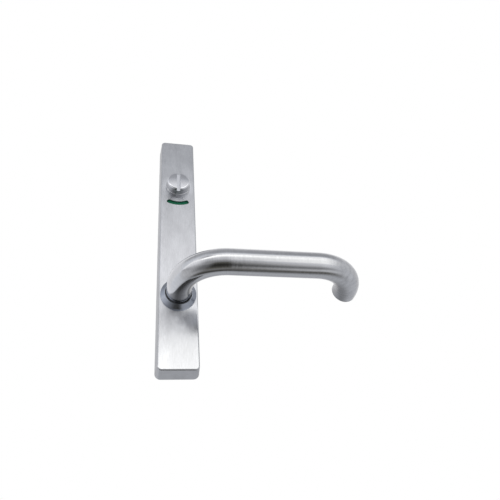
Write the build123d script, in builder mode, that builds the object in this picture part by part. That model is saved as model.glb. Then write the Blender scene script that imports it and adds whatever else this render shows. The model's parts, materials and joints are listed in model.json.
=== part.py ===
"""Privacy lever handle on a narrow plate: the outside half of a door set.

A drafted metal cover plate carries a round return lever and, above it, a coin turn with a
curved window that shows green or red. The plate's back lies on the door. Sizes are in
millimetres. +Z is up and the lever points along +X. The door lies on the +Y side, so the
handle stands out towards -Y. The origin is on the lever's axis at the door face. Depths
are measured out of the door face, towards -Y.
"""

import os
from math import asin, cos, degrees, hypot, radians, sin, sqrt, tan

from build123d import *

os.makedirs("parts", exist_ok=True)

# Cover plate
plate_width = 31.4
plate_above_turn = 58.7
plate_drop = 60.9
plate_depth = 14.2
draft_angle = 4.4
corner_radius = 4.2
front_edge_radius = 1.1
cover_wall = 1.6
boss_radius = 3.6
screw_end_distance = 9.0
middle_screw_below_turn = 48.0

# Base plate and door fixings
base_thickness = 2.0
fit_gap = 0.15
post_above_turn = 32.0
post_above_end = 20.9
post_radius = 4.0
post_head_across_flats = 10.0
post_head_height = 1.8
post_projection = 12.0
post_bore_radius = 2.1
post_bore_depth = 13.0
post_chamfer = 0.6

# Countersunk screws that hold the base plate in the cover
screw_core_radius = 1.45
screw_clearance = 0.35
screw_head_radius = 3.2
screw_length = 8.0
screw_recess = 0.1
cross_slot_width = 0.8
cross_slot_length = 3.4
cross_slot_depth = 0.8

# Lever
tube_diameter = 19.0
tube_wall = 1.5
lever_reach = 128.1
grip_projection = 59.7
neck_bend_radius = 31.6
return_bend_radius = 33.0
return_straight = 2.2
end_cap_thickness = 2.0
end_edge_radius = 1.9
end_spigot_length = 2.0
end_spigot_gap = 0.1
running_gap = 0.05
lever_swing = 45.0

# Hub, spindle and drive cam
hub_margin = 0.8
hub_cap = 3.5
hub_recess = 0.2
hub_key_flats = 14.0
hub_rear_radius = 7.0
spindle_size = 7.6
spindle_gap = 0.05
spindle_projection = 55.0
spindle_chamfer = 0.8
pin_radius = 1.5
pin_setback = 4.8
cam_thickness = 1.5
cam_arm_width = 4.0
cam_tab_thickness = 1.4
circlip_thickness = 1.0
circlip_width = 2.8
circlip_groove = 0.4
circlip_gap_width = 6.0
circlip_setback = 0.85
axial_gap = 0.15

# Neck collar and its bearing
collar_height = 3.5
collar_land = 1.2
collar_width = 3.2
collar_front_width = 0.3
collar_spigot_width = 1.2
bush_wall = 0.75
bush_recess = 0.35
thrust_thickness = 0.8

# Spring housing
spring_wire = 1.4
spring_pitch = 1.9
spring_turns = 2
spring_leg_bend = 1.6
spring_hub_gap = 0.8
sleeve_wall = 0.6
spring_housing_gap = 0.8
housing_wall = 1.1
housing_front_wall = 1.2
housing_foot_width = 20.0
housing_foot_drop = 16.5
housing_foot_height = 3.0
housing_screw_spacing = 13.0
housing_screw_height = -14.0
housing_screw_radius = 1.05
housing_screw_head_radius = 2.0
housing_screw_head_height = 1.3
stop_gap = 0.6
anchor_thickness = 1.3

# Coin turn
turn_height = 110.0
turn_collar_radius = 10.3
turn_collar_height = 2.5
turn_collar_edge = 0.4
turn_spigot_radius = 7.0
knob_base_radius = 10.0
knob_face_radius = 9.3
knob_height = 7.0
knob_dome = 0.6
knob_edge_radius = 1.2
coin_slot_width = 3.0
coin_slot_depth = 3.3
turn_journal_radius = 4.0
tail_size = 5.0
tail_cap = 4.15
tail_projection = 45.0
tail_chamfer = 0.5
turn_swing = 90.0

# Indicator
window_radius = 17.8
window_width = 3.9
window_edge = 0.25
window_half_angle = 24.4
slide_thickness = 0.8
slide_rise = 8.0
slide_gap = 0.1
panel_thickness = 0.2
panel_height = 7.6
panel_margin = 0.9
crank_radius = 6.0
crank_pin_radius = 1.0
yoke_gap = 0.25
tail_gap = 0.25
crank_disc_radius = 8.0
crank_disc_thickness = 1.2
crank_journal_radius = 4.4
layer_gap = 0.15
rail_thickness = 1.3
ledge_width = 1.4
ledge_thickness = 1.0
carrier_web = 1.2
carrier_margin = 1.5
carrier_foot_width = 4.0
carrier_foot_thickness = 1.5
peg_radius = 1.2
peg_spacing = 16.0
peg_recess = 0.1
disc_spring_height = 0.5
disc_spring_thickness = 0.3
disc_spring_radius = 5.6
detent_size = 9.0
detent_corner_radius = 5.6
detent_thickness = 3.0
leaf_thickness = 0.5
leaf_width = 2.6
leaf_gap = 0.05
lug_height = 1.3
clip_thickness = 0.8
clip_radius = 5.2
clip_groove_radius = 3.0
clip_gap_width = 3.8

# Places that follow from the sizes above
draft_slope = tan(radians(draft_angle))
inner_front = plate_depth - cover_wall
plate_rise = turn_height + plate_above_turn
cover_screw_heights = (
    plate_rise - screw_end_distance,
    turn_height - middle_screw_below_turn,
    screw_end_distance - plate_drop,
)
post_heights = (turn_height + post_above_turn, post_above_end - plate_drop)
tube_radius = tube_diameter / 2
hub_radius = tube_radius - tube_wall
bush_radius = tube_radius + bush_wall
collar_radius = bush_radius + collar_width
collar_spigot_radius = bush_radius + collar_spigot_width
tube_end = inner_front + thrust_thickness + running_gap
return_end_depth = grip_projection - return_bend_radius - return_straight
tube_return_depth = return_end_depth + end_cap_thickness
hub_front = grip_projection - neck_bend_radius - hub_margin
spindle_front = hub_front - hub_cap
pin_depth = spindle_front - pin_setback
circlip_back = base_thickness + circlip_setback
cam_back = circlip_back + circlip_thickness + axial_gap
cam_front = cam_back + cam_thickness
spring_radius = hub_radius + spring_hub_gap + spring_wire / 2
housing_inner_radius = spring_radius + spring_wire / 2 + spring_housing_gap
housing_radius = housing_inner_radius + housing_wall
spring_front = inner_front - housing_front_wall
anchor_inner_radius = housing_radius + fit_gap
anchor_outer_radius = anchor_inner_radius + anchor_thickness
tab_inner_radius = hypot(anchor_outer_radius, cam_arm_width / 2) + fit_gap
tab_outer_radius = tab_inner_radius + cam_tab_thickness
knob_back = plate_depth + turn_collar_height + running_gap
knob_front = knob_back + knob_height
tail_front = knob_front - tail_cap
pin_x = -crank_radius * cos(radians(turn_swing / 2))
pin_z = turn_height - crank_radius * sin(radians(turn_swing / 2))
stroke = 2 * (turn_height - pin_z)
tail_corner_radius = tail_size / 2 * sqrt(2)
panel_front = inner_front - slide_gap
slide_front = panel_front - panel_thickness
slide_back = slide_front - slide_thickness
crank_front = slide_back - layer_gap
crank_back = crank_front - crank_disc_thickness
web_front = crank_back - slide_gap
web_back = web_front - carrier_web
disc_spring_back = web_back - disc_spring_height
detent_back = disc_spring_back - detent_thickness
inner_half_width = plate_width / 2 - cover_wall - inner_front * draft_slope
rail_outer = inner_half_width - fit_gap
rail_inner = rail_outer - rail_thickness
slide_half_width = rail_inner - slide_gap
window_top = window_radius * cos(radians(window_half_angle)) - window_width / 2
green_centre = -(window_radius + window_top) / 2
slide_drop = stroke - green_centre + panel_height / 2 + panel_margin
carrier_top = turn_height + slide_rise + stroke + carrier_margin
carrier_bottom = turn_height - slide_drop - carrier_margin
carrier_middle = (carrier_top + carrier_bottom) / 2
carrier_length = carrier_top - carrier_bottom


def layer(depth):
    """Plane parallel to the door at this depth: x is +X, y is +Z, and its normal is -Y."""
    return Plane.XZ.offset(depth)


def plate_outline(inset):
    """The plate's rounded outline, drawn this far inside its edge at the door."""
    with Locations((0, (plate_rise - plate_drop) / 2)):
        RectangleRounded(
            plate_width - 2 * inset,
            plate_rise + plate_drop - 2 * inset,
            corner_radius - inset,
        )


def heights(values):
    """One location on the plate's centre line for each height."""
    return Locations(*[(0, value) for value in values])


def tube_profile(outer, inner, back, front):
    """A ring's half section in the XY plane, for a turn about the lever's axis."""
    with Locations(((outer + inner) / 2, -(back + front) / 2)):
        Rectangle(outer - inner, front - back)


# Cover plate: a drafted shell, open at the door, with screw bosses inside
window_middle_line = CenterArc(
    (0, turn_height), window_radius, -90 - window_half_angle, 2 * window_half_angle
)
with BuildPart() as cover_plate:
    with BuildSketch(layer(0)):
        plate_outline(0)
    extrude(amount=plate_depth, taper=draft_angle)
    fillet(cover_plate.faces().sort_by(Axis.Y)[0].edges(), radius=front_edge_radius)
    with BuildSketch(layer(0)):
        plate_outline(cover_wall)
    extrude(amount=inner_front, taper=draft_angle, mode=Mode.SUBTRACT)
    with BuildSketch(layer(base_thickness)):
        with heights(cover_screw_heights):
            Circle(boss_radius)
    extrude(amount=inner_front - base_thickness)
    with BuildSketch(layer(base_thickness)):
        with heights(cover_screw_heights):
            Circle(screw_core_radius)
    extrude(amount=screw_length, mode=Mode.SUBTRACT)
    with BuildSketch(layer(inner_front)):
        Circle(collar_spigot_radius)
        with Locations((0, turn_height)):
            Circle(turn_spigot_radius)
        SlotArc(window_middle_line, window_width)
    extrude(amount=cover_wall, mode=Mode.SUBTRACT)
    window_edges = cover_plate.edges().group_by(Axis.Y)[0].filter_by_position(
        Axis.Z, turn_height - window_radius - window_width, turn_height - window_radius + window_width
    )
    chamfer(window_edges, length=window_edge)
cover_plate.part.label = "cover_plate"
export_step(cover_plate.part, "parts/cover_plate.step")

# Base plate: closes the cover's back flush with its rim and carries everything inside
with BuildPart(Plane.ZX) as base_plate:
    with BuildSketch(layer(0)):
        plate_outline(cover_wall + base_thickness * draft_slope + fit_gap)
        Circle(hub_rear_radius + running_gap, mode=Mode.SUBTRACT)
        with Locations((0, turn_height)):
            Circle(tail_corner_radius + tail_gap, mode=Mode.SUBTRACT)
        with heights(post_heights):
            Circle(post_radius + running_gap, mode=Mode.SUBTRACT)
        with Locations((0, housing_screw_height)):
            with GridLocations(housing_screw_spacing, 1, 2, 1):
                Circle(housing_screw_radius, mode=Mode.SUBTRACT)
        with Locations((0, carrier_middle)):
            with GridLocations(peg_spacing, carrier_length - carrier_foot_width, 2, 2):
                Circle(peg_radius, mode=Mode.SUBTRACT)
    extrude(amount=base_thickness)
    with Locations(*[(value, 0) for value in cover_screw_heights]):
        CounterSinkHole(
            screw_core_radius + screw_clearance,
            screw_head_radius + screw_recess,
            counter_sink_angle=90,
        )
base_plate.part.label = "base_plate"
export_step(base_plate.part, "parts/base_plate.step")

# Fixing posts: tapped studs that take the bolts from the other side of the door
with BuildPart() as fixing_posts:
    with BuildSketch(layer(base_thickness)):
        with heights(post_heights):
            RegularPolygon(post_head_across_flats / 2, 6, major_radius=False)
    extrude(amount=post_head_height)
    with BuildSketch(layer(base_thickness)):
        with heights(post_heights):
            Circle(post_radius)
    extrude(amount=-(base_thickness + post_projection))
    chamfer(fixing_posts.faces().group_by(Axis.Y)[-1].edges(), length=post_chamfer)
    with BuildSketch(layer(-post_projection)):
        with heights(post_heights):
            Circle(post_bore_radius)
    extrude(amount=post_bore_depth, mode=Mode.SUBTRACT)
fixing_posts.part.label = "fixing_posts"
export_step(fixing_posts.part, "parts/fixing_posts.step")

# Countersunk screws, from the door side through the base plate into the cover's bosses
with BuildPart() as cover_screws:
    for height in cover_screw_heights:
        with BuildSketch(Plane.XY.offset(height)):
            with BuildLine():
                Polyline(
                    (0, -screw_recess),
                    (screw_head_radius, -screw_recess),
                    (screw_core_radius, -screw_recess - screw_head_radius + screw_core_radius),
                    (screw_core_radius, -base_thickness - screw_length + fit_gap),
                    (0, -base_thickness - screw_length + fit_gap),
                    close=True,
                )
            make_face()
        revolve(axis=Axis((0, 0, height), (0, 1, 0)))
    with BuildSketch(layer(screw_recess)):
        with heights(cover_screw_heights):
            Rectangle(cross_slot_width, cross_slot_length)
            Rectangle(cross_slot_length, cross_slot_width)
    extrude(amount=cross_slot_depth, mode=Mode.SUBTRACT)
cover_screws.part.label = "cover_screws"
export_step(cover_screws.part, "parts/cover_screws.step")

# Neck collar: a bevelled ring round the lever's neck, pressed into the cover
with BuildPart() as neck_collar:
    with BuildSketch(Plane.XY):
        with BuildLine():
            Polyline(
                (bush_radius, -inner_front),
                (collar_spigot_radius, -inner_front),
                (collar_spigot_radius, -plate_depth),
                (collar_radius, -plate_depth),
                (collar_radius, -plate_depth - collar_land),
                (bush_radius + collar_front_width, -plate_depth - collar_height),
                (bush_radius, -plate_depth - collar_height),
                close=True,
            )
        make_face()
    revolve(axis=Axis.Y)
neck_collar.part.label = "neck_collar"
export_step(neck_collar.part, "parts/neck_collar.step")

# Neck bush: the plastic sleeve that the neck turns in
with BuildPart() as neck_bush:
    with BuildSketch(Plane.XY):
        tube_profile(
            bush_radius, tube_radius + running_gap, inner_front, plate_depth + collar_height - bush_recess
        )
    revolve(axis=Axis.Y)
neck_bush.part.label = "neck_bush"
export_step(neck_bush.part, "parts/neck_bush.step")

# Lever tube: out of the plate, along the door and back towards it
with BuildPart() as lever_tube:
    with BuildLine(Plane.XY) as route:
        FilletPolyline(
            (0, -tube_end),
            (0, -grip_projection),
            (lever_reach, -grip_projection),
            (lever_reach, -tube_return_depth),
            radius=[neck_bend_radius, return_bend_radius],
        )
    with BuildSketch(layer(tube_end)):
        Circle(tube_radius)
        Circle(hub_radius, mode=Mode.SUBTRACT)
    sweep(path=route.line)
lever_tube.part.label = "lever_tube"
export_step(lever_tube.part, "parts/lever_tube.step")

# End plug: a rounded cap on the return end, with a spigot in the tube
with BuildPart() as lever_end_plug:
    with BuildSketch(layer(return_end_depth)):
        with Locations((lever_reach, 0)):
            Circle(tube_radius)
    extrude(amount=end_cap_thickness)
    fillet(lever_end_plug.edges().group_by(Axis.Y)[-1], radius=end_edge_radius)
    with BuildSketch(layer(tube_return_depth)):
        with Locations((lever_reach, 0)):
            Circle(hub_radius - end_spigot_gap)
    extrude(amount=end_spigot_length)
lever_end_plug.part.label = "lever_end_plug"
export_step(lever_end_plug.part, "parts/lever_end_plug.step")

# Lever hub: fills the neck, is keyed to the drive cam and runs in the base plate
with BuildPart() as lever_hub:
    with BuildSketch(layer(cam_front)):
        Circle(hub_radius)
    extrude(amount=hub_front - cam_front)
    with BuildSketch(layer(cam_back)):
        Circle(hub_radius)
        Rectangle(hub_key_flats, 2 * hub_radius, mode=Mode.INTERSECT)
    extrude(amount=cam_thickness)
    with BuildSketch(layer(hub_recess)):
        Circle(hub_rear_radius)
    extrude(amount=cam_back - hub_recess)
    with BuildSketch(layer(circlip_back)):
        Circle(hub_rear_radius)
        Circle(hub_rear_radius - circlip_groove, mode=Mode.SUBTRACT)
    extrude(amount=circlip_thickness, mode=Mode.SUBTRACT)
    with BuildSketch(layer(hub_recess)):
        Rectangle(spindle_size + 2 * spindle_gap, spindle_size + 2 * spindle_gap)
    extrude(amount=spindle_front + spindle_gap - hub_recess, mode=Mode.SUBTRACT)
    with BuildSketch(Plane.XY):
        with Locations((0, -pin_depth)):
            Circle(pin_radius)
    extrude(amount=hub_radius, both=True, mode=Mode.SUBTRACT)
lever_hub.part.label = "lever_hub"
export_step(lever_hub.part, "parts/lever_hub.step")

# Spindle: square bar through the door to the lock and the other lever
with BuildPart() as spindle:
    with BuildSketch(layer(-spindle_projection)):
        Rectangle(spindle_size, spindle_size)
    extrude(amount=spindle_projection + spindle_front)
    chamfer(spindle.faces().sort_by(Axis.Y)[-1].edges(), length=spindle_chamfer)
    with BuildSketch(Plane.XY):
        with Locations((0, -pin_depth)):
            Circle(pin_radius)
    extrude(amount=spindle_size, both=True, mode=Mode.SUBTRACT)
spindle.part.label = "spindle"
export_step(spindle.part, "parts/spindle.step")

# Cross pin that holds the spindle in the hub, hidden inside the tube
with BuildPart() as spindle_pin:
    with BuildSketch(Plane.XY):
        with Locations((0, -pin_depth)):
            Circle(pin_radius)
    extrude(amount=hub_radius - fit_gap, both=True)
spindle_pin.part.label = "spindle_pin"
export_step(spindle_pin.part, "parts/spindle_pin.step")

# Thrust washer between the tube's end and the spring housing
with BuildPart() as thrust_washer:
    with BuildSketch(Plane.XY):
        tube_profile(
            tube_radius - fit_gap, hub_radius + running_gap, inner_front, inner_front + thrust_thickness
        )
    revolve(axis=Axis.Y)
thrust_washer.part.label = "thrust_washer"
export_step(thrust_washer.part, "parts/thrust_washer.step")

# Drive cam: keyed to the hub, with an arm and a bent tab that pushes the spring's legs
with BuildPart() as drive_cam:
    with BuildSketch(layer(cam_back)):
        Circle(housing_inner_radius - 2 * fit_gap)
        with Locations((0, tab_outer_radius / 2)):
            Rectangle(cam_arm_width, tab_outer_radius)
        with BuildSketch(mode=Mode.PRIVATE) as key_hole:
            Circle(hub_radius)
            Rectangle(hub_key_flats, 2 * hub_radius, mode=Mode.INTERSECT)
        add(key_hole.sketch, mode=Mode.SUBTRACT)
    extrude(amount=cam_thickness)
    with BuildSketch(layer(cam_back)):
        with Locations((0, (tab_inner_radius + tab_outer_radius) / 2)):
            Rectangle(cam_arm_width, cam_tab_thickness)
    extrude(amount=spring_front - fit_gap - cam_back)
drive_cam.part.label = "drive_cam"
export_step(drive_cam.part, "parts/drive_cam.step")

# Circlip in the hub's groove, behind the drive cam
with BuildPart() as hub_circlip:
    with BuildSketch(layer(circlip_back)):
        Circle(hub_rear_radius - circlip_groove + circlip_width)
        Circle(hub_rear_radius - circlip_groove, mode=Mode.SUBTRACT)
        with Locations((0, -hub_rear_radius)):
            Rectangle(circlip_gap_width, 2 * hub_rear_radius, mode=Mode.SUBTRACT)
    extrude(amount=circlip_thickness)
hub_circlip.part.label = "hub_circlip"
export_step(hub_circlip.part, "parts/hub_circlip.step")

# Sleeve round the hub that keeps the cam off the housing's front wall
with BuildPart() as spring_sleeve:
    with BuildSketch(Plane.XY):
        tube_profile(hub_radius + sleeve_wall, hub_radius, cam_front, spring_front - axial_gap)
    revolve(axis=Axis.Y)
spring_sleeve.part.label = "spring_sleeve"
export_step(spring_sleeve.part, "parts/spring_sleeve.step")

# Spring housing: a cup open at the top, where the cam's arm swings between its stops
arm_half_angle = degrees(asin(cam_arm_width / 2 / housing_inner_radius))
opening_half_angle = lever_swing + arm_half_angle + degrees(stop_gap / housing_inner_radius)
with BuildPart() as spring_housing:
    with BuildSketch(layer(spring_front)):
        Circle(housing_radius)
        with Locations((0, anchor_outer_radius / 2)):
            Rectangle(cam_arm_width, anchor_outer_radius)
        Circle(hub_radius + running_gap, mode=Mode.SUBTRACT)
        Rectangle(2 * rail_outer, 4 * housing_radius, mode=Mode.INTERSECT)
    extrude(amount=housing_front_wall)
    with BuildSketch(layer(base_thickness)):
        Circle(housing_radius)
        Circle(housing_inner_radius, mode=Mode.SUBTRACT)
        with BuildLine():
            reach = 3 * housing_radius
            half_opening = reach * tan(radians(opening_half_angle))
            Polyline((0, 0), (half_opening, reach), (-half_opening, reach), close=True)
        make_face(mode=Mode.SUBTRACT)
        Rectangle(2 * rail_outer, 4 * housing_radius, mode=Mode.INTERSECT)
    extrude(amount=spring_front - base_thickness)
    with BuildSketch(layer(cam_front + fit_gap)):
        with Locations((0, (anchor_inner_radius + anchor_outer_radius) / 2)):
            Rectangle(cam_arm_width, anchor_thickness)
    extrude(amount=spring_front - cam_front - fit_gap)
    with BuildSketch(layer(base_thickness)):
        with Locations((0, -housing_foot_drop / 2)):
            Rectangle(housing_foot_width, housing_foot_drop)
        Circle(housing_inner_radius, mode=Mode.SUBTRACT)
        with Locations((0, housing_screw_height)):
            with GridLocations(housing_screw_spacing, 1, 2, 1):
                Circle(housing_screw_radius, mode=Mode.SUBTRACT)
        with BuildLine():
            Polyline((-reach, 0), (-reach, -hub_radius), (reach, -hub_radius), (reach, 0), close=True)
        make_face(mode=Mode.SUBTRACT)
    extrude(amount=housing_foot_height)
spring_housing.part.label = "spring_housing"
export_step(spring_housing.part, "parts/spring_housing.step")

# Two cap screws that hold the spring housing's foot to the base plate
with BuildPart() as housing_screws:
    with BuildSketch(layer(fit_gap)):
        with Locations((0, housing_screw_height)):
            with GridLocations(housing_screw_spacing, 1, 2, 1):
                Circle(housing_screw_radius)
    extrude(amount=base_thickness + housing_foot_height - fit_gap)
    with BuildSketch(layer(base_thickness + housing_foot_height)):
        with Locations((0, housing_screw_height)):
            with GridLocations(housing_screw_spacing, 1, 2, 1):
                Circle(housing_screw_head_radius)
    extrude(amount=housing_screw_head_height)
housing_screws.part.label = "housing_screws"
export_step(housing_screws.part, "parts/housing_screws.step")

# Return spring: whole turns and two radial legs, one each side of the anchor and the tab
leg_angle = degrees(asin((cam_arm_width / 2 + spring_wire / 2 + fit_gap) / anchor_inner_radius))
leg_bend_angle = degrees(asin(spring_leg_bend / (spring_radius + spring_leg_bend)))
leg_bend_start = sqrt((spring_radius + spring_leg_bend) ** 2 - spring_leg_bend**2)
coil_angle = 360 * spring_turns + 2 * (leg_angle - leg_bend_angle)
coil_height = spring_pitch * coil_angle / 360
coil_back = (cam_front + spring_front - coil_height) / 2
arcs_in_coil = 4 * spring_turns


def spring_point(radius, angle, depth):
    """Point round the spring's axis: the angle runs from +Z towards -X."""
    return Vector(-radius * sin(radians(angle)), -depth, radius * cos(radians(angle)))


with BuildPart() as return_spring:
    with BuildLine() as spring_line:
        Line(
            spring_point(tab_outer_radius, -leg_angle, coil_back),
            spring_point(leg_bend_start, -leg_angle, coil_back),
        )
        bend = TangentArc(
            spring_line.line @ 1,
            spring_point(spring_radius, leg_bend_angle - leg_angle, coil_back),
            tangent=spring_line.line % 1,
        )
        for arc in range(1, arcs_in_coil + 1):
            share = arc / arcs_in_coil
            bend = TangentArc(
                bend @ 1,
                spring_point(
                    spring_radius,
                    leg_bend_angle - leg_angle + share * coil_angle,
                    coil_back + share * coil_height,
                ),
                tangent=bend % 1,
            )
        bend = TangentArc(
            bend @ 1,
            spring_point(leg_bend_start, leg_angle, coil_back + coil_height),
            tangent=bend % 1,
        )
        Line(bend @ 1, spring_point(tab_outer_radius, leg_angle, coil_back + coil_height))
    spring_path = spring_line.wire()
    with BuildSketch(Plane(spring_path @ 0, z_dir=spring_path % 0)):
        Circle(spring_wire / 2)
    sweep(path=spring_path)
return_spring.part.label = "return_spring"
export_step(return_spring.part, "parts/return_spring.step")

# Turn collar: the ring that the coin turn's stem runs in
with BuildPart() as turn_collar:
    with BuildSketch(layer(plate_depth)):
        with Locations((0, turn_height)):
            Circle(turn_collar_radius)
    extrude(amount=turn_collar_height)
    fillet(turn_collar.edges().group_by(Axis.Y)[0], radius=turn_collar_edge)
    with BuildSketch(layer(inner_front)):
        with Locations((0, turn_height)):
            Circle(turn_spigot_radius)
    extrude(amount=cover_wall)
    with BuildSketch(layer(inner_front)):
        with Locations((0, turn_height)):
            Circle(turn_journal_radius + running_gap)
    extrude(amount=cover_wall + turn_collar_height, mode=Mode.SUBTRACT)
turn_collar.part.label = "turn_collar"
export_step(turn_collar.part, "parts/turn_collar.step")

# Coin turn: tapered knob with a slightly domed face and a slot right across it
with BuildPart() as coin_turn:
    with BuildSketch(Plane.XY.offset(turn_height)):
        with BuildLine():
            TangentArc((0, -knob_front), (knob_face_radius, knob_dome - knob_front), tangent=(1, 0))
            Polyline(
                (knob_face_radius, knob_dome - knob_front),
                (knob_base_radius, -knob_back),
                (turn_journal_radius, -knob_back),
                (turn_journal_radius, -inner_front - running_gap),
                (0, -inner_front - running_gap),
                (0, -knob_front),
            )
        make_face()
    revolve(axis=Axis((0, 0, turn_height), (0, 1, 0)))
    rims = coin_turn.edges().filter_by(lambda edge: edge.is_closed)
    fillet(rims.sort_by(Axis.Y)[0], radius=knob_edge_radius)
    with BuildSketch(layer(knob_front - coin_slot_depth)):
        with Locations((0, turn_height)):
            Rectangle(coin_slot_width, 3 * knob_base_radius)
    extrude(amount=coin_slot_depth, mode=Mode.SUBTRACT)
    with BuildSketch(layer(inner_front)):
        with Locations((0, turn_height)):
            Rectangle(tail_size, tail_size)
    extrude(amount=tail_front - inner_front, mode=Mode.SUBTRACT)
coin_turn.part.label = "coin_turn"
export_step(coin_turn.part, "parts/coin_turn.step")

# Turn tail: square bar that works the lock's privacy bolt
clip_front = detent_back - running_gap
with BuildPart() as turn_tail:
    with BuildSketch(layer(-tail_projection)):
        with Locations((0, turn_height)):
            Rectangle(tail_size, tail_size)
    extrude(amount=tail_projection + tail_front)
    chamfer(turn_tail.faces().sort_by(Axis.Y)[-1].edges(), length=tail_chamfer)
    with BuildSketch(layer(clip_front - clip_thickness)):
        with Locations((0, turn_height)):
            Circle(2 * tail_size)
            Circle(clip_groove_radius, mode=Mode.SUBTRACT)
    extrude(amount=clip_thickness, mode=Mode.SUBTRACT)
turn_tail.part.label = "turn_tail"
export_step(turn_tail.part, "parts/turn_tail.step")

# Crank disc on the tail, with a journal that runs in the carrier's web
with BuildPart() as turn_crank:
    with BuildSketch(layer(crank_back)):
        with Locations((0, turn_height)):
            Circle(crank_disc_radius)
    extrude(amount=crank_disc_thickness)
    with BuildSketch(layer(web_back)):
        with Locations((0, turn_height)):
            Circle(crank_journal_radius)
    extrude(amount=crank_back - web_back)
    with BuildSketch(layer(web_back)):
        with Locations((0, turn_height)):
            Rectangle(tail_size, tail_size)
        with Locations((pin_x, pin_z)):
            Circle(crank_pin_radius)
    extrude(amount=crank_front - web_back, mode=Mode.SUBTRACT)
turn_crank.part.label = "turn_crank"
export_step(turn_crank.part, "parts/turn_crank.step")

# Crank pin riveted into the disc, standing in the slide's yoke
with BuildPart() as crank_pin:
    with BuildSketch(layer(crank_back)):
        with Locations((pin_x, pin_z)):
            Circle(crank_pin_radius)
    extrude(amount=slide_front - crank_back)
crank_pin.part.label = "crank_pin"
export_step(crank_pin.part, "parts/crank_pin.step")

# Disc spring that takes up the turn's end play
with BuildPart() as disc_spring:
    inner_radius = tail_corner_radius + tail_gap
    with BuildSketch(Plane.XY.offset(turn_height)):
        with BuildLine():
            Polyline(
                (inner_radius, -disc_spring_back),
                (inner_radius, -disc_spring_back - disc_spring_thickness),
                (disc_spring_radius, -web_back),
                (disc_spring_radius, -web_back + disc_spring_thickness),
                close=True,
            )
        make_face()
    revolve(axis=Axis((0, 0, turn_height), (0, 1, 0)))
disc_spring.part.label = "disc_spring"
export_step(disc_spring.part, "parts/disc_spring.step")

# Detent cam: square block whose flats the leaf spring rests on
with BuildPart() as detent_cam:
    with BuildSketch(layer(detent_back)):
        with Locations((0, turn_height)):
            Rectangle(detent_size, detent_size)
            Circle(detent_corner_radius, mode=Mode.INTERSECT)
            Rectangle(tail_size, tail_size, mode=Mode.SUBTRACT)
    extrude(amount=detent_thickness)
detent_cam.part.label = "detent_cam"
export_step(detent_cam.part, "parts/detent_cam.step")

# Clip in the tail's groove, behind the detent cam
with BuildPart() as tail_clip:
    with BuildSketch(layer(clip_front - clip_thickness)):
        with Locations((0, turn_height)):
            Circle(clip_radius)
            Circle(clip_groove_radius, mode=Mode.SUBTRACT)
            with Locations((0, clip_radius)):
                Rectangle(clip_gap_width, 2 * clip_radius, mode=Mode.SUBTRACT)
    extrude(amount=clip_thickness)
tail_clip.part.label = "tail_clip"
export_step(tail_clip.part, "parts/tail_clip.step")

# Detent leaf spring, held at its ends by the carrier's lugs
leaf_bottom = turn_height + detent_size / 2 + leaf_gap
leaf_back = detent_back + (detent_thickness - leaf_width) / 2
lug_spacing = 2 * leaf_gap + leaf_thickness + lug_height
with BuildPart() as detent_spring:
    with BuildSketch(layer(leaf_back)):
        with Locations((0, leaf_bottom + leaf_thickness / 2)):
            Rectangle(2 * (rail_inner - slide_gap), leaf_thickness)
    extrude(amount=leaf_width)
detent_spring.part.label = "detent_spring"
export_step(detent_spring.part, "parts/detent_spring.step")

# Indicator carrier: rails and a web that guide the slide, on two feet pegged in the base
with BuildPart() as indicator_carrier:
    with BuildSketch(layer(base_thickness)):
        with Locations((0, carrier_middle)):
            with GridLocations(rail_outer + rail_inner, 1, 2, 1):
                Rectangle(rail_thickness, carrier_length)
    extrude(amount=inner_front - base_thickness)
    with BuildSketch(layer(slide_back - slide_gap - ledge_thickness)):
        with Locations((0, carrier_middle)):
            with GridLocations(2 * rail_inner - ledge_width, 1, 2, 1):
                Rectangle(ledge_width, carrier_length)
    extrude(amount=ledge_thickness)
    with BuildSketch(layer(web_back)):
        with Locations((0, carrier_middle)):
            Rectangle(2 * rail_inner, carrier_length)
        with Locations((0, turn_height)):
            Circle(crank_journal_radius + running_gap, mode=Mode.SUBTRACT)
    extrude(amount=carrier_web)
    with BuildSketch(layer(detent_back)):
        with Locations((0, leaf_bottom + leaf_thickness / 2)):
            with GridLocations(2 * rail_inner - ledge_width, lug_spacing, 2, 2):
                Rectangle(ledge_width, lug_height)
    extrude(amount=web_back - detent_back)
    with BuildSketch(layer(base_thickness)):
        with Locations((0, carrier_middle)):
            with GridLocations(1, carrier_length - carrier_foot_width, 1, 2):
                Rectangle(2 * rail_inner, carrier_foot_width)
    extrude(amount=carrier_foot_thickness)
    with BuildSketch(layer(peg_recess)):
        with Locations((0, carrier_middle)):
            with GridLocations(peg_spacing, carrier_length - carrier_foot_width, 2, 2):
                Circle(peg_radius)
    extrude(amount=base_thickness - peg_recess)
indicator_carrier.part.label = "indicator_carrier"
export_step(indicator_carrier.part, "parts/indicator_carrier.step")

# Indicator slide: clears the tail along its stroke and is driven through a side notch
with BuildPart() as indicator_slide:
    with BuildSketch(layer(slide_back)):
        with Locations((0, turn_height + (slide_rise - slide_drop) / 2)):
            RectangleRounded(2 * slide_half_width, slide_rise + slide_drop, carrier_margin)
        with Locations((0, turn_height - stroke / 2)):
            clearance = tail_corner_radius + tail_gap
            RectangleRounded(2 * clearance, 2 * clearance + stroke, clearance / 2, mode=Mode.SUBTRACT)
        notch_end = crank_radius + crank_pin_radius + yoke_gap
        with Locations((-notch_end / 2, pin_z)):
            Rectangle(notch_end, 2 * (crank_pin_radius + yoke_gap), mode=Mode.SUBTRACT)
    extrude(amount=slide_thickness)
indicator_slide.part.label = "indicator_slide"
export_step(indicator_slide.part, "parts/indicator_slide.step")

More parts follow.
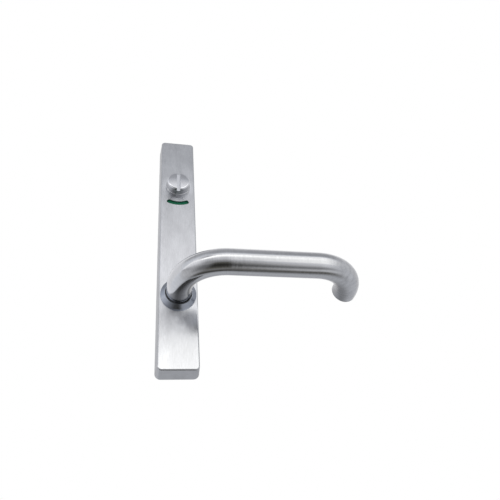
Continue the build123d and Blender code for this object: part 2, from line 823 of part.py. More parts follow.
# Green and red panels on the slide, one stroke apart
with BuildPart() as green_panel:
    with BuildSketch(layer(slide_front)):
        with Locations((0, turn_height + green_centre)):
            Rectangle(2 * slide_half_width - panel_margin, panel_height)
    extrude(amount=panel_thickness)
green_panel.part.label = "green_panel"
export_step(green_panel.part, "parts/green_panel.step")

with BuildPart() as red_panel:
    with BuildSketch(layer(slide_front)):
        with Locations((0, turn_height + green_centre - stroke)):
            Rectangle(2 * slide_half_width - panel_margin, panel_height)
    extrude(amount=panel_thickness)
red_panel.part.label = "red_panel"
export_step(red_panel.part, "parts/red_panel.step")

# The return spring's least gap to itself, measured from points half a turn or more apart
samples = 200
points = [spring_path @ (step / samples) for step in range(samples + 1)]
apart = samples // (2 * spring_turns)
distances = [
    (point - other).length for index, point in enumerate(points) for other in points[index + apart :]
]
print(f"stroke {stroke:.3f} mm, return spring's least gap to itself {min(distances) - spring_wire:.2f} mm")
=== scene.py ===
import json
import math

import bmesh
import bpy
from mathutils import Matrix, Vector


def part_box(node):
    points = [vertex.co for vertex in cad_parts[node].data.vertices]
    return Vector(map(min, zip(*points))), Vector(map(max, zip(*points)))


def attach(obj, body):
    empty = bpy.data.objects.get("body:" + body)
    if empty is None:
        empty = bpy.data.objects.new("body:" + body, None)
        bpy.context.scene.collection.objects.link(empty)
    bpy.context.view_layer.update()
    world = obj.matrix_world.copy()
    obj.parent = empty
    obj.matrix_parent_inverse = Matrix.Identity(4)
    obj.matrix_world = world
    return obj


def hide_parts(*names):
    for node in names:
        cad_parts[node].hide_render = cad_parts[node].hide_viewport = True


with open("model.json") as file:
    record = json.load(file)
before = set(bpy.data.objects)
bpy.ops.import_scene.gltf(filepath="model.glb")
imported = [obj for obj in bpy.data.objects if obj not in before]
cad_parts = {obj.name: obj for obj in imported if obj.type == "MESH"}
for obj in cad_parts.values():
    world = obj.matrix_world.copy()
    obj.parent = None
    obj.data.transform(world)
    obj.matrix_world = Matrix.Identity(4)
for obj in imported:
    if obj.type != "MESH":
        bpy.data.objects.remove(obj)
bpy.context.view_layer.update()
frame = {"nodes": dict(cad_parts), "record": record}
nodes = frame["nodes"]
scene = bpy.context.scene
print("frame loaded:", len(nodes), "nodes")


# Small helpers

def hexColor(code):  # sRGB hex to the linear colour that shaders want
    channels = [int(code[i:i + 2], 16) / 255 for i in (1, 3, 5)]
    return [c / 12.92 if c <= 0.04045 else ((c + 0.055) / 1.055) ** 2.4 for c in channels] + [1.0]


def addNode(tree, kind, settings=None, links=None):
    # one node, with its own settings, values for its sockets, and links into its sockets
    # numbered ones: 1 and 2 are a Map Range's start and stop, 6 and 7 a Mix's colours, and 2 its result
    node = tree.nodes.new(kind)
    for key, value in (settings or {}).items():
        if isinstance(key, str) and hasattr(node, key):
            setattr(node, key, value)
        else:
            node.inputs[key].default_value = value
    for key, source in (links or {}).items():
        tree.links.new(source, node.inputs[key])
    return node


def newMaterial(name):
    material = bpy.data.materials.new(name)
    material.use_nodes = True
    material.node_tree.nodes.clear()
    return material, material.node_tree


def finishMaterial(material, shader):
    addNode(material.node_tree, "ShaderNodeOutputMaterial", links={"Surface": shader.outputs[0]})
    return material


def setRamp(node, stops):  # stops are (place, linear colour)
    ramp = node.color_ramp
    while len(ramp.elements) < len(stops):
        ramp.elements.new(0.5)
    for element, (place, color) in zip(ramp.elements, stops):
        element.position = place
        element.color = color


def mm(value):
    return value / 1000


# Camera, at the photograph's angle: in front of the handle, to its left and below it

cameraView = {
    "place": (mm(-28.265), mm(-335.49), mm(-196.47)),
    "yaw": -0.26606,      # radians, round the plate's long axis
    "pitch": -0.62794,    # looking up at the handle
    "roll": -0.11015,
    "focalPixels": 495.38,
    "framePixels": 500,
    "sensorMm": 36,
    "nearClip": mm(10),
    "farClip": 50,
}


def makeCamera(view):
    data = bpy.data.cameras.new("photoCamera")
    data.sensor_width = view["sensorMm"]
    data.lens = view["sensorMm"] * view["focalPixels"] / view["framePixels"]
    data.clip_start = view["nearClip"]
    data.clip_end = view["farClip"]
    back = Vector((
        math.sin(view["yaw"]) * math.cos(view["pitch"]),
        -math.cos(view["yaw"]) * math.cos(view["pitch"]),
        math.sin(view["pitch"]),
    ))
    level = Vector((0, 0, 1)).cross(back).normalized()
    upright = back.cross(level)
    turn = Matrix.Rotation(view["roll"], 3, back)
    right, up = turn @ level, turn @ upright
    camera = bpy.data.objects.new("photoCamera", data)
    camera.matrix_world = Matrix.Translation(view["place"]) @ Matrix((right, up, back)).transposed().to_4x4()
    scene.collection.objects.link(camera)
    scene.camera = camera


makeCamera(cameraView)
scene.view_settings.view_transform = "Standard"
print("camera placed")


# Studio: one broad soft light in front and above, white behind the handle, a pale floor below.
# The metal sees the white behind the handle too, in the levels from 110 to 165 degrees.

studio = {
    # brightness by the angle round the lever's line: 0 is straight out of the door, 90 is up and the
    # door lies at 180; the three columns are for the left, the middle and the right of that line
    "levels": [
        (-180, 1.00, 0.50, 0.55),
        (-135, 0.86, 0.62, 0.60),
        (-123, 0.72, 0.46, 0.50),
        (-113, 0.56, 0.06, 0.30),
        (-104, 0.56, 0.12, 0.12),
        (-96, 0.52, 0.24, 0.14),
        (-88, 0.38, 0.20, 0.56),
        (-80, 0.28, 0.10, 0.90),
        (-70, 0.22, 0.05, 0.56),
        (-60, 0.22, 0.03, 0.32),
        (-50, 0.24, 0.06, 0.58),
        (-40, 0.40, 0.13, 0.90),
        (-30, 0.36, 0.34, 1.00),
        (-20, 0.46, 0.50, 1.15),
        (-13, 0.58, 0.72, 1.66),
        (4, 0.80, 0.92, 1.60),
        (12, 1.50, 1.55, 1.60),
        (20, 2.30, 1.85, 1.66),
        (24.5, 1.10, 2.40, 1.62),
        (26.5, 0.80, 1.42, 1.58),
        (27, 0.75, 1.08, 1.56),
        (29, 0.62, 1.28, 1.52),
        (36, 0.64, 1.22, 1.58),
        (41, 0.78, 0.92, 1.35),
        (45.5, 0.86, 0.78, 0.95),
        (49, 0.90, 0.58, 0.66),
        (57, 0.80, 0.50, 0.48),
        (70, 0.58, 0.48, 0.44),
        (97, 0.48, 0.66, 0.58),
        (110, 1.00, 1.00, 1.00),
        (165, 1.00, 1.00, 1.00),
        (180, 1.00, 0.55, 0.55),
    ],
    # the same for the wall past the left end of the line, and for the one past its right end
    "leftEndLevels": [
        (-180, 0.98), (-130, 0.86), (-110, 0.74), (-64, 0.54), (-45, 0.62), (-30, 0.82), (-12, 1.02),
        (16, 1.16), (27, 1.45), (37, 1.28), (50, 0.96), (85, 0.88), (110, 0.94), (180, 0.98),
    ],
    "rightEndLevels": [(-180, 0.70), (180, 0.70)],
    # how far along the line each part takes over from the middle, as the direction's share along it
    "leftZone": (-0.25, -0.55),
    "rightZone": (0.13, 0.37),
    "leftEnd": (-0.55, -0.88),
    "rightEnd": (0.42, 0.95),
    "shadeLevel": 0.22,                # darker than this is the room in shade, a little warm
    "shadeTint": (1.04, 1.00, 0.88),
    "glowLevel": 1.35,                 # brighter than this is the soft light itself, warm too
    "glowTint": (1.00, 0.985, 0.95),
    "coolBelow": -120,                 # daylight comes from low down by the door and from above
    "coolFrom": 45,
    "coolTo": 95,
    "coolTint": (0.985, 0.995, 1.03),
    "lightTint": (1.00, 0.99, 1.00),
    "floorDrop": mm(270),
    "floorHalf": mm(1600),
    "floorColor": "#F2F2F0",
    "floorRoughness": 0.9,
}


def makeWorld(settings):
    world = bpy.data.worlds.new("studio")
    scene.world = world
    world.use_nodes = True
    tree = world.node_tree
    tree.nodes.clear()
    direction = addNode(tree, "ShaderNodeTexCoord")
    parts = addNode(tree, "ShaderNodeSeparateXYZ", links={0: direction.outputs["Generated"]})
    outward = addNode(tree, "ShaderNodeMath", {"operation": "MULTIPLY", 1: -1.0}, {0: parts.outputs["Y"]})
    bearing = addNode(
        tree, "ShaderNodeMath", {"operation": "ARCTAN2"}, {0: parts.outputs["Z"], 1: outward.outputs[0]}
    )
    around = addNode(tree, "ShaderNodeMapRange", {1: -math.pi, 2: math.pi}, {0: bearing.outputs[0]})

    def rampOf(rows):  # the tinted levels round the line, from rows of (angle, level)
        stops = []
        for angle, level in rows:
            tint = settings["lightTint"]
            if level < settings["shadeLevel"]:
                tint = settings["shadeTint"]
            elif level > settings["glowLevel"]:
                tint = settings["glowTint"]
            elif angle < settings["coolBelow"] or settings["coolFrom"] < angle < settings["coolTo"]:
                tint = settings["coolTint"]
            stops.append(((angle + 180) / 360, [level * t for t in tint] + [1.0]))
        ramp = addNode(tree, "ShaderNodeValToRGB", links={0: around.outputs[0]})
        setRamp(ramp, stops)
        return ramp.outputs["Color"]

    left, middle, right = [rampOf([(row[0], row[n]) for row in settings["levels"]]) for n in (1, 2, 3)]
    zones = [
        ("leftZone", left), ("rightZone", right),
        ("leftEnd", rampOf(settings["leftEndLevels"])), ("rightEnd", rampOf(settings["rightEndLevels"])),
    ]
    light = middle
    for zone, source in zones:
        start, stop = settings[zone]
        share = addNode(
            tree, "ShaderNodeMapRange", {"interpolation_type": "SMOOTHSTEP", 1: start, 2: stop},
            {0: parts.outputs["X"]},
        )
        mixed = addNode(
            tree, "ShaderNodeMix", {"data_type": "RGBA"}, {0: share.outputs[0], 6: light, 7: source}
        )
        light = mixed.outputs[2]
    seen = addNode(tree, "ShaderNodeLightPath")
    backdrop = addNode(
        tree, "ShaderNodeMix", {"data_type": "RGBA", 7: (1.0, 1.0, 1.0, 1.0)},
        {0: seen.outputs["Is Camera Ray"], 6: light},
    )
    shine = addNode(tree, "ShaderNodeBackground", {"Strength": 1.0}, {"Color": backdrop.outputs[2]})
    addNode(tree, "ShaderNodeOutputWorld", links={0: shine.outputs[0]})


def makeFloor(settings):
    mesh = bpy.data.meshes.new("floor")
    half, drop = settings["floorHalf"], -settings["floorDrop"]
    corners = [(-half, -half, drop), (half, -half, drop), (half, half, drop), (-half, half, drop)]
    mesh.from_pydata(corners, [], [(0, 1, 2, 3)])
    floor = bpy.data.objects.new("floor", mesh)
    scene.collection.objects.link(floor)
    floor.visible_glossy = False  # the surroundings' own tones stand in the metal, not the floor
    material, tree = newMaterial("matt white paper")
    shader = addNode(
        tree, "ShaderNodeBsdfPrincipled",
        {"Base Color": hexColor(settings["floorColor"]), "Roughness": settings["floorRoughness"]},
    )
    mesh.materials.append(finishMaterial(material, shader))


makeWorld(studio)
makeFloor(studio)
print("studio lit")


# Materials: each is named for its real finish, and its dictionary has a part for each thing that shows.
# A part gives its size along each axis, what its low and its high values multiply the tone by and add
# to the roughness, and the relief between them.

steelTone = "#C6C8CC"   # stainless steel's own colour in reflection, a touch cool


def noiseAt(tree, place, part):  # values from 0 to 1, in blotches of about the part's size
    stretched = addNode(
        tree, "ShaderNodeMapping", {"Scale": [1 / s for s in part["size"]]}, {"Vector": place}
    )
    noise = addNode(
        tree, "ShaderNodeTexNoise",
        {"Scale": 1.0, "Detail": part.get("detail", 2.0), "Roughness": part.get("fineness", 0.5)},
        {"Vector": stretched.outputs[0]},
    )
    return noise.outputs["Fac"]


def dressSurface(tree, finish, patterns, tangent=None):
    # lays the patterns over each other; each is (its values, its part of the finish)
    color, rough, normal = None, None, None
    for values, part in patterns:
        toneLow, toneHigh = part["tones"]
        roughLow, roughHigh = part.get("rough", (0.0, 0.0))
        shade = addNode(
            tree, "ShaderNodeMath", {"operation": "MULTIPLY_ADD", 1: toneHigh - toneLow, 2: toneLow},
            {0: values},
        )
        scaled = addNode(tree, "ShaderNodeVectorMath", {"operation": "SCALE"}, {"Scale": shade.outputs[0]})
        if color:
            tree.links.new(color, scaled.inputs[0])
        else:
            scaled.inputs[0].default_value = hexColor(finish["tone"])[:3]
        color = scaled.outputs[0]
        added = addNode(
            tree, "ShaderNodeMath", {"operation": "MULTIPLY_ADD", 1: roughHigh - roughLow}, {0: values}
        )
        if rough:
            shifted = addNode(tree, "ShaderNodeMath", {"operation": "ADD", 1: roughLow}, {0: rough})
            tree.links.new(shifted.outputs[0], added.inputs[2])
        else:
            added.inputs[2].default_value = finish["roughness"] + roughLow
        rough = added.outputs[0]
        if "relief" in part:
            bump = addNode(
                tree, "ShaderNodeBump", {"Strength": 1.0, "Distance": part["relief"]}, {"Height": values}
            )
            if normal:
                tree.links.new(normal, bump.inputs["Normal"])
            normal = bump.outputs[0]
    shader = addNode(
        tree, "ShaderNodeBsdfPrincipled",
        {
            "Metallic": finish.get("metallic", 1.0), "Anisotropic": finish.get("anisotropy", 0.0),
            "Specular IOR Level": finish.get("gloss", 0.5),
        },
        {"Base Color": color, "Roughness": rough, "Normal": normal},
    )
    if tangent:
        tree.links.new(tangent, shader.inputs["Tangent"])
    return shader


turnLow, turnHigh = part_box("coin_turn")
turnCenter = tuple((turnLow + turnHigh) / 2)
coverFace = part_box("cover_plate")[0].y   # the plate's face, how far out from the door
plateFinish = {
    "tone": steelTone,
    "roughness": 0.24,
    "anisotropy": 0.95,
    "grain": {  # real linishing is finer: as coarse as a pixel needs
        "size": (mm(0.7), mm(0.7), mm(5)), "detail": 3.0, "fineness": 0.6,
        "tones": (0.84, 1.15), "rough": (-0.03, 0.03), "relief": mm(0.02),
    },
    "clouds": {  # the sheet's tone changes slowly, more across it than along it
        "size": (mm(10), mm(10), mm(24)), "tones": (0.78, 1.20), "rough": (-0.03, 0.03), "relief": mm(0.03),
    },
    "haze": {"size": [mm(4)] * 3, "tones": (0.94, 1.05), "rough": (-0.03, 0.03)},   # from handling
    # three spots, full within one distance from their centre and gone past the other
    "paintedLightRing": {  # painted light: the ring round the coin turn is made lighter over the knob's dark reflection, and a touch smoother
        "center": turnCenter, "full": mm(10.5), "none": mm(17),
        "tones": (1.0, 1.22), "rough": (0.0, -0.02),
    },
    "paintedLightSpot": {  # painted light: a lighter spot under the lever's neck, over the lever's dark reflection
        "center": (mm(6), coverFace, mm(-17)), "full": mm(6), "none": mm(15),
        "tones": (1.0, 1.50),
    },
    "mattAndLitStrip": {  # the strip between turn and window is rougher, and lighter as painted light over the knob's dark reflection
        "center": (turnCenter[0], coverFace, turnCenter[2] - mm(15)), "full": mm(2), "none": mm(7),
        "tones": (1.0, 1.5), "rough": (0.0, 0.30),
    },
    "sides": {"tones": (1.0, 0.74), "rough": (0.0, 0.1)},   # the drafted sides are duller than the face
    "ends": {"tones": (1.0, 0.97), "rough": (0.0, 0.1)},
    "sideOn": (0.5, 0.95),     # how squarely a surface faces that way where these begin and are full
}


def linishedStainless(finish):
    # Satin stainless sheet, linished up its length: reflections blur sideways and stay sharp up and down
    material, tree = newMaterial("linished stainless sheet")
    place = addNode(tree, "ShaderNodeTexCoord")
    patterns = []
    for part in (finish["grain"], finish["clouds"], finish["haze"]):
        patterns.append((noiseAt(tree, place.outputs["Object"], part), part))
    # these spots lighten the plate as painted light where the knob and the lever reflect dark
    for part in (finish["paintedLightRing"], finish["paintedLightSpot"], finish["mattAndLitStrip"]):
        reach = addNode(
            tree, "ShaderNodeVectorMath", {"operation": "DISTANCE", 1: part["center"]},
            {0: place.outputs["Object"]},
        )
        spot = addNode(
            tree, "ShaderNodeMapRange",
            {"interpolation_type": "SMOOTHSTEP", 1: part["none"], 2: part["full"]},
            {0: reach.outputs["Value"]},
        )
        patterns.append((spot.outputs[0], part))
    facing = addNode(tree, "ShaderNodeSeparateXYZ", links={0: place.outputs["Normal"]})
    start, stop = finish["sideOn"]
    for axis, part in (("X", finish["sides"]), ("Z", finish["ends"])):
        size = addNode(tree, "ShaderNodeMath", {"operation": "ABSOLUTE"}, {0: facing.outputs[axis]})
        away = addNode(
            tree, "ShaderNodeMapRange", {"interpolation_type": "SMOOTHSTEP", 1: start, 2: stop},
            {0: size.outputs[0]},
        )
        patterns.append((away.outputs[0], part))
    across = addNode(tree, "ShaderNodeCombineXYZ", {"X": 1.0})
    return finishMaterial(material, dressSurface(tree, finish, patterns, across.outputs[0]))


tubeFinish = {
    "tone": steelTone,
    "roughness": 0.17,
    "anisotropy": 0.8,
    "uvName": "brushing",
    "lines": {  # brush marks run round the tube: sizes are along it, round it, and one that isn't used
        "size": (mm(0.7), mm(9), 1.0), "detail": 3.0, "fineness": 0.65,
        "tones": (0.80, 1.16), "rough": (-0.12, 0.12), "relief": mm(0.008),
    },
    "clouds": {"size": [mm(8)] * 3, "tones": (0.92, 1.06), "rough": (-0.04, 0.04), "relief": mm(0.03)},
    "blotches": {"size": [mm(2.4)] * 3, "tones": (0.94, 1.05), "rough": (-0.03, 0.03), "relief": mm(0.01)},
    "strokes": {  # the return is ground by hand, in short uneven strokes
        "size": (mm(2.5), mm(7), 1.0), "detail": 3.0, "fineness": 0.6,
        "tones": (1.0, 1.8), "rough": (0.0, 0.2), "relief": mm(0.045),
    },
    "roughAndShadedInside": {"tones": (1.0, 0.55), "rough": (0.0, 0.12)},    # rougher inside the return, and darker there as painted shade
    "buffed": {"tones": (1.0, 1.02), "rough": (0.0, -0.07)},   # the neck's outside is buffed once more
    "paintedNeckShade": {"tones": (1.0, 0.42)},      # painted shade: the neck's underside by the plate is darkened
    # where these begin and where they are full: two across the handle, and one out from the door
    "onReturn": (mm(96), mm(122)),
    "onNeck": (mm(48), mm(20)),
    "nearPlate": (mm(-52), mm(-38)),
    # a way to face, and how squarely a surface faces it where the look begins and where it is full
    "inward": ((-0.8, 0.3, -0.5), 0.35, 0.95),
    "downward": ((0.4, 0, -0.92), 0.60, 0.88),
}


def brushedTube(finish):
    # Stainless tube brushed round its girth: reflections stay sharp round it and smear along it
    material, tree = newMaterial("girth brushed stainless tube")
    uv = addNode(tree, "ShaderNodeUVMap", {"uv_map": finish["uvName"]})
    place = addNode(tree, "ShaderNodeTexCoord")
    spots = addNode(tree, "ShaderNodeSeparateXYZ", links={0: place.outputs["Object"]})
    strokes = noiseAt(tree, uv.outputs[0], finish["strokes"])
    uneven = addNode(tree, "ShaderNodeMath", {"operation": "SUBTRACT", 1: 0.5}, {0: strokes})
    masks = {"uneven": uneven.outputs[0]}
    for name, axis in (("onReturn", "X"), ("onNeck", "X"), ("nearPlate", "Y")):
        start, stop = finish[name]
        fade = addNode(
            tree, "ShaderNodeMapRange", {"interpolation_type": "SMOOTHSTEP", 1: start, 2: stop},
            {0: spots.outputs[axis]},
        )
        masks[name] = fade.outputs[0]
    for name in ("inward", "downward"):
        way, start, stop = finish[name]
        facing = addNode(
            tree, "ShaderNodeVectorMath", {"operation": "DOT_PRODUCT", 1: way}, {0: place.outputs["Normal"]}
        )
        fade = addNode(
            tree, "ShaderNodeMapRange", {"interpolation_type": "SMOOTHSTEP", 1: start, 2: stop},
            {0: facing.outputs["Value"]},
        )
        masks[name] = fade.outputs[0]
    overlaps = [
        ("handGround", "uneven", "onReturn"), ("insideReturn", "inward", "onReturn"),
        ("neckByPlate", "onNeck", "nearPlate"), ("underNeck", "neckByPlate", "downward"),
    ]
    for name, first, second in overlaps:
        both = addNode(
            tree, "ShaderNodeMath", {"operation": "MULTIPLY"}, {0: masks[first], 1: masks[second]}
        )
        masks[name] = both.outputs[0]
    # the inside of the return and the underside of the neck are darkened as painted shade
    patterns = [
        (noiseAt(tree, uv.outputs[0], finish["lines"]), finish["lines"]),
        (noiseAt(tree, place.outputs["Object"], finish["clouds"]), finish["clouds"]),
        (noiseAt(tree, place.outputs["Object"], finish["blotches"]), finish["blotches"]),
        (masks["handGround"], finish["strokes"]),
        (masks["insideReturn"], finish["roughAndShadedInside"]),
        (masks["onNeck"], finish["buffed"]),
        (masks["underNeck"], finish["paintedNeckShade"]),
    ]
    along = addNode(tree, "ShaderNodeTangent", {"direction_type": "UV_MAP", "uv_map": finish["uvName"]})
    return finishMaterial(material, dressSurface(tree, finish, patterns, along.outputs[0]))


turning = {  # what every lathe turned piece has
    "rings": {"detail": 2.0, "tones": (0.93, 1.05), "rough": (-0.03, 0.03), "relief": mm(0.002)},
    "clouds": {"size": [mm(5)] * 3, "tones": (0.92, 1.06), "rough": (-0.02, 0.02), "relief": mm(0.01)},
}
collarFinish = {  # stainless ring: greyer than the plate, with fine rings that catch the light
    "tone": "#989EA9", "roughness": 0.22, "center": (0, 0, 0), "ringWidth": mm(0.35),
}
knobFinish = {  # satin chrome: bright on the face, duller and softer round the sides
    "tone": "#C4C6CB", "roughness": 0.12, "center": turnCenter, "ringWidth": mm(0.3),
    "rim": {"tones": (1.0, 1.3)},                           # painted highlight: the face's rounded rim is made brighter
    "side": {"tones": (1.0, 0.84), "rough": (0.0, 0.28)},
    "cut": {"tones": (1.0, 1.22), "rough": (0.0, 0.1)},     # the slot is lighter and a little rougher than the face
    "cutWidth": mm(3.0),
    "cutEdge": mm(0.2),
    "rimEnd": (turnLow.y + mm(1.6), turnLow.y + mm(2.0)),   # from here back are the sides and the slot
    # how a surface faces along the axis where these begin and where they are full: -1 is straight out
    "rimFacing": (-0.985, -0.95),
    "sideFacing": (-0.5, -0.1),
}


def turnedMetal(name, finish):
    # Lathe turned metal: fine rings about an axis along Y, and on a knob a rim, sides and a slot
    material, tree = newMaterial(name)
    place = addNode(tree, "ShaderNodeTexCoord")
    depth = addNode(tree, "ShaderNodeSeparateXYZ", links={0: place.outputs["Object"]})
    fromAxis = addNode(
        tree, "ShaderNodeVectorMath", {"operation": "SUBTRACT", 1: finish["center"]},
        {0: place.outputs["Object"]},
    )
    flat = addNode(
        tree, "ShaderNodeVectorMath", {"operation": "MULTIPLY", 1: (1, 0, 1)}, {0: fromAxis.outputs[0]}
    )
    radius = addNode(tree, "ShaderNodeVectorMath", {"operation": "LENGTH"}, {0: flat.outputs[0]})
    ring = addNode(
        tree, "ShaderNodeMath", {"operation": "ADD"}, {0: radius.outputs["Value"], 1: depth.outputs["Y"]}
    )
    rings = addNode(
        tree, "ShaderNodeTexNoise",
        {"noise_dimensions": "1D", "Scale": 1 / finish["ringWidth"], "Detail": turning["rings"]["detail"]},
        {"W": ring.outputs[0]},
    )
    patterns = [
        (rings.outputs["Fac"], turning["rings"]),
        (noiseAt(tree, place.outputs["Object"], turning["clouds"]), turning["clouds"]),
    ]
    if "rim" in finish:
        start, stop = finish["rimEnd"]
        behind = addNode(tree, "ShaderNodeMapRange", {1: start, 2: stop}, {0: depth.outputs["Y"]})
        before = addNode(tree, "ShaderNodeMath", {"operation": "SUBTRACT", 0: 1.0}, {1: behind.outputs[0]})
        facing = addNode(tree, "ShaderNodeSeparateXYZ", links={0: place.outputs["Normal"]})
        start, stop = finish["rimFacing"]
        tilted = addNode(tree, "ShaderNodeMapRange", {1: start, 2: stop}, {0: facing.outputs["Y"]})
        start, stop = finish["sideFacing"]
        sideways = addNode(tree, "ShaderNodeMapRange", {1: start, 2: stop}, {0: facing.outputs["Y"]})
        half = finish["cutWidth"] / 2
        away = addNode(tree, "ShaderNodeSeparateXYZ", links={0: fromAxis.outputs[0]})
        across = addNode(tree, "ShaderNodeMath", {"operation": "ABSOLUTE"}, {0: away.outputs["X"]})
        nearMiddle = addNode(
            tree, "ShaderNodeMapRange", {1: half + finish["cutEdge"], 2: half}, {0: across.outputs[0]}
        )
        # the rim's brighter tone is a painted highlight
        masks = [("rim", tilted, before), ("side", sideways, behind), ("cut", nearMiddle, behind)]
        for part, first, second in masks:
            both = addNode(
                tree, "ShaderNodeMath", {"operation": "MULTIPLY"},
                {0: first.outputs[0], 1: second.outputs[0]},
            )
            patterns.append((both.outputs[0], finish[part]))
    return finishMaterial(material, dressSurface(tree, finish, patterns))


unevenness = {  # what the plain finishes share, each at its own sizes
    "specks": {"detail": 4.0, "fineness": 0.6, "tones": (0.86, 1.08), "rough": (-0.06, 0.06)},
    "clouds": {"tones": (0.86, 1.10), "rough": (-0.05, 0.05)},
}
zincFinish = {  # pale bluish grey, with a soft uneven shine
    "tone": "#B9BEC4", "roughness": 0.38, "speckSize": mm(1.6), "cloudSize": mm(7), "relief": mm(0.006),
}
springFinish = {  # dark grey and smooth
    "tone": "#6E7176", "roughness": 0.30, "speckSize": mm(1.0), "cloudSize": mm(4), "relief": mm(0.004),
}
blackFinish = {  # dull, and greyed by dust from grinding
    "tone": "#46494C", "metallic": 0.0, "roughness": 0.42,
    "speckSize": mm(0.6), "cloudSize": mm(4), "relief": mm(0.008),
}
naturalFinish = {  # milky white, with a waxy sheen
    "tone": "#E4E2DA", "metallic": 0.0, "roughness": 0.45,
    "speckSize": mm(0.7), "cloudSize": mm(5), "relief": mm(0.008),
}
greenFinish = {  # one deep colour, with hardly any gloss
    "tone": "#146247", "metallic": 0.0, "gloss": 0.15, "roughness": 0.55,
    "speckSize": mm(0.6), "cloudSize": mm(4), "relief": mm(0.004),
}
redFinish = {**greenFinish, "tone": "#A3161A"}


def plainSurface(name, finish):
    # A finish with only uneven tone: plated or oiled steel, moulded plastic, painted strip
    material, tree = newMaterial(name)
    place = addNode(tree, "ShaderNodeTexCoord")
    specks = {**unevenness["specks"], "size": [finish["speckSize"]] * 3, "relief": finish["relief"]}
    clouds = {**unevenness["clouds"], "size": [finish["cloudSize"]] * 3}
    patterns = [(noiseAt(tree, place.outputs["Object"], part), part) for part in (specks, clouds)]
    return finishMaterial(material, dressSurface(tree, finish, patterns))


finishes = {
    "satin_stainless": linishedStainless(plateFinish),
    "brushed_tube": brushedTube(tubeFinish),
    "satin_collar": turnedMetal("turned stainless ring", collarFinish),
    "satin_turn": turnedMetal("turned satin chrome", knobFinish),
    "zinc_plated_steel": plainSurface("clear zinc plate", zincFinish),
    "spring_steel": plainSurface("oiled spring steel", springFinish),
    "black_plastic": plainSurface("black acetal", blackFinish),
    "natural_plastic": plainSurface("natural acetal", naturalFinish),
    "green_film": plainSurface("green painted strip", greenFinish),
    "red_film": plainSurface("red painted strip", redFinish),
}
for entry in frame["record"]["subparts"]:
    slots = nodes[entry["node"]].data.materials
    slots.clear()
    slots.append(finishes[entry["material_slot"]])
print("materials made:", len(finishes))


# Lever: its tube and rounded end cap, with the brushing laid out along and round them

lever = {
    "radius": mm(9.5),
    "wall": mm(1.5),
    "neckBend": mm(31.6),
    "returnBend": mm(33.0),
    "capThickness": mm(2.0),
    "capEdge": mm(1.9),
    "capDish": mm(0.12),       # the end is ground a little hollow at its middle
    "dishRings": (0.75, 0.5, 0.25, 0),
    "spigotRadius": mm(7.9),   # just under the tube's bore
    "weldWidth": mm(0.4),      # the ground weld leaves a shallow line round the joint
    "weldDepth": mm(0.05),
    "step": mm(1.0),
    "around": 128,
    "edgeSteps": 8,
    "sharpDegrees": 35,
}


def leverRoute(settings):
    # spots and directions along the tube's middle line, from the neck to the joint with the end cap
    low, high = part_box("lever_tube")
    grip = low.y + settings["radius"]
    reach = high.x - settings["radius"]
    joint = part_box("lever_end_plug")[1].y - settings["capThickness"]
    route = []

    def straight(start, stop):
        count = max(1, round((stop - start).length / settings["step"]))
        for i in range(count):
            route.append((start.lerp(stop, i / count), (stop - start).normalized()))

    def bend(center, radius, startAngle):
        count = round(radius * math.pi / 2 / settings["step"])
        for i in range(count):
            a = startAngle + math.pi / 2 * i / count
            spot = center + radius * Vector((math.cos(a), math.sin(a), 0))
            route.append((spot, Vector((-math.sin(a), math.cos(a), 0))))

    neckCenter = Vector((settings["neckBend"], grip + settings["neckBend"], 0))
    returnCenter = Vector((reach - settings["returnBend"], grip + settings["returnBend"], 0))
    straight(Vector((0, high.y, 0)), Vector((0, neckCenter.y, 0)))
    bend(neckCenter, settings["neckBend"], math.pi)
    straight(Vector((neckCenter.x, grip, 0)), Vector((returnCenter.x, grip, 0)))
    bend(returnCenter, settings["returnBend"], 1.5 * math.pi)
    straight(Vector((reach, returnCenter.y, 0)), Vector((reach, joint, 0)))
    route.append((Vector((reach, joint, 0)), Vector((0, 1, 0))))
    return route


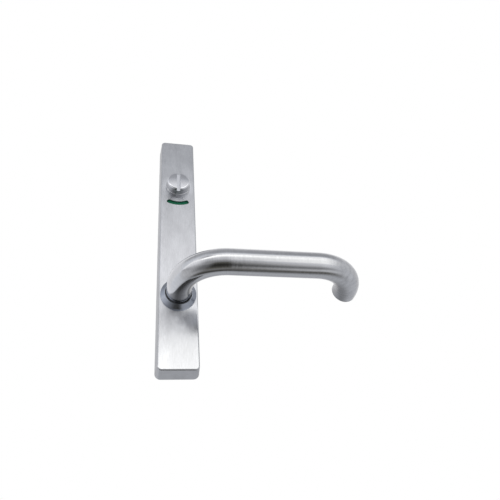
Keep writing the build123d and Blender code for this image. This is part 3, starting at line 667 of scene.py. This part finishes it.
def ringSurface(name, profile, settings, closed):
    # a mesh of rings: profile has (spot, direction, radius) for each; a zero radius closes it in a point
    mesh = bpy.data.meshes.new(name)
    work = bmesh.new()
    uvLayer = work.loops.layers.uv.new(tubeFinish["uvName"])
    count = settings["around"]
    upward = Vector((0, 0, 1))
    rings, lengths, travelled = [], [], 0
    for n, (spot, way, radius) in enumerate(profile):
        side = way.cross(upward)
        angles = [2 * math.pi * j / count for j in range(count)] if radius else [0]
        rings.append([
            work.verts.new(spot + radius * (math.cos(a) * side + math.sin(a) * upward)) for a in angles
        ])
        if n:
            travelled += math.hypot((spot - profile[n - 1][0]).length, radius - profile[n - 1][2])
        lengths.append(travelled)
    if closed:
        rings.append(rings[0])
        lengths.append(travelled + settings["wall"])
    girth = 2 * math.pi * settings["radius"]
    for n in range(len(rings) - 1):
        for j in range(count):
            corners = [(n, j), (n + 1, j), (n + 1, j + 1), (n, j + 1)]
            if len(rings[n]) == 1:
                corners = [(n, j), (n + 1, j), (n + 1, j + 1)]
            if len(rings[n + 1]) == 1:
                corners = [(n, j), (n + 1, j), (n, j + 1)]
            face = work.faces.new([rings[a][b % len(rings[a])] for a, b in corners])
            face.smooth = True
            for loop, (a, b) in zip(face.loops, corners):
                loop[uvLayer].uv = (lengths[a], b / count * girth)
    bmesh.ops.recalc_face_normals(work, faces=work.faces)
    work.to_mesh(mesh)
    work.free()
    mesh.set_sharp_from_angle(angle=math.radians(settings["sharpDegrees"]))
    mesh.materials.append(finishes["brushed_tube"])
    piece = bpy.data.objects.new(name, mesh)
    scene.collection.objects.link(piece)
    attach(piece, "lever")
    return piece


def makeLeverTube(settings):
    route = leverRoute(settings)
    outer, inner = settings["radius"], settings["radius"] - settings["wall"]
    profile = [(spot, way, outer) for spot, way in route[:-1]]
    joint, way = route[-1]
    profile.append((joint - way * settings["weldWidth"], way, outer))
    profile.append((joint, way, outer - settings["weldDepth"]))
    profile += [(spot, way, inner) for spot, way in reversed(route)]
    piece = ringSurface("brushed_lever_tube", profile, settings, True)
    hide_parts("lever_tube")


def makeEndCap(settings):
    back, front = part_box("lever_end_plug")
    way = Vector((0, 1, 0))
    outer, edge = settings["radius"], settings["capEdge"]
    middle = Vector((front.x - outer, 0, 0))
    joint = front.y - settings["capThickness"]
    outline = [
        (back.y, 0), (back.y, settings["spigotRadius"] / 2), (back.y, settings["spigotRadius"]),
        (joint, settings["spigotRadius"]), (joint, outer - settings["weldDepth"]),
    ]
    for i in range(settings["edgeSteps"] + 1):
        a = math.pi / 2 * i / settings["edgeSteps"]
        outline.append((front.y - edge * (1 - math.sin(a)), outer - edge * (1 - math.cos(a))))
    for share in settings["dishRings"]:
        outline.append((front.y - settings["capDish"] * (1 - share**2), (outer - edge) * share))
    profile = [(middle + way * y, way, radius) for y, radius in outline]
    piece = ringSurface("brushed_end_cap", profile, settings, False)
    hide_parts("lever_end_plug")


makeLeverTube(lever)
makeEndCap(lever)
print("lever swept")
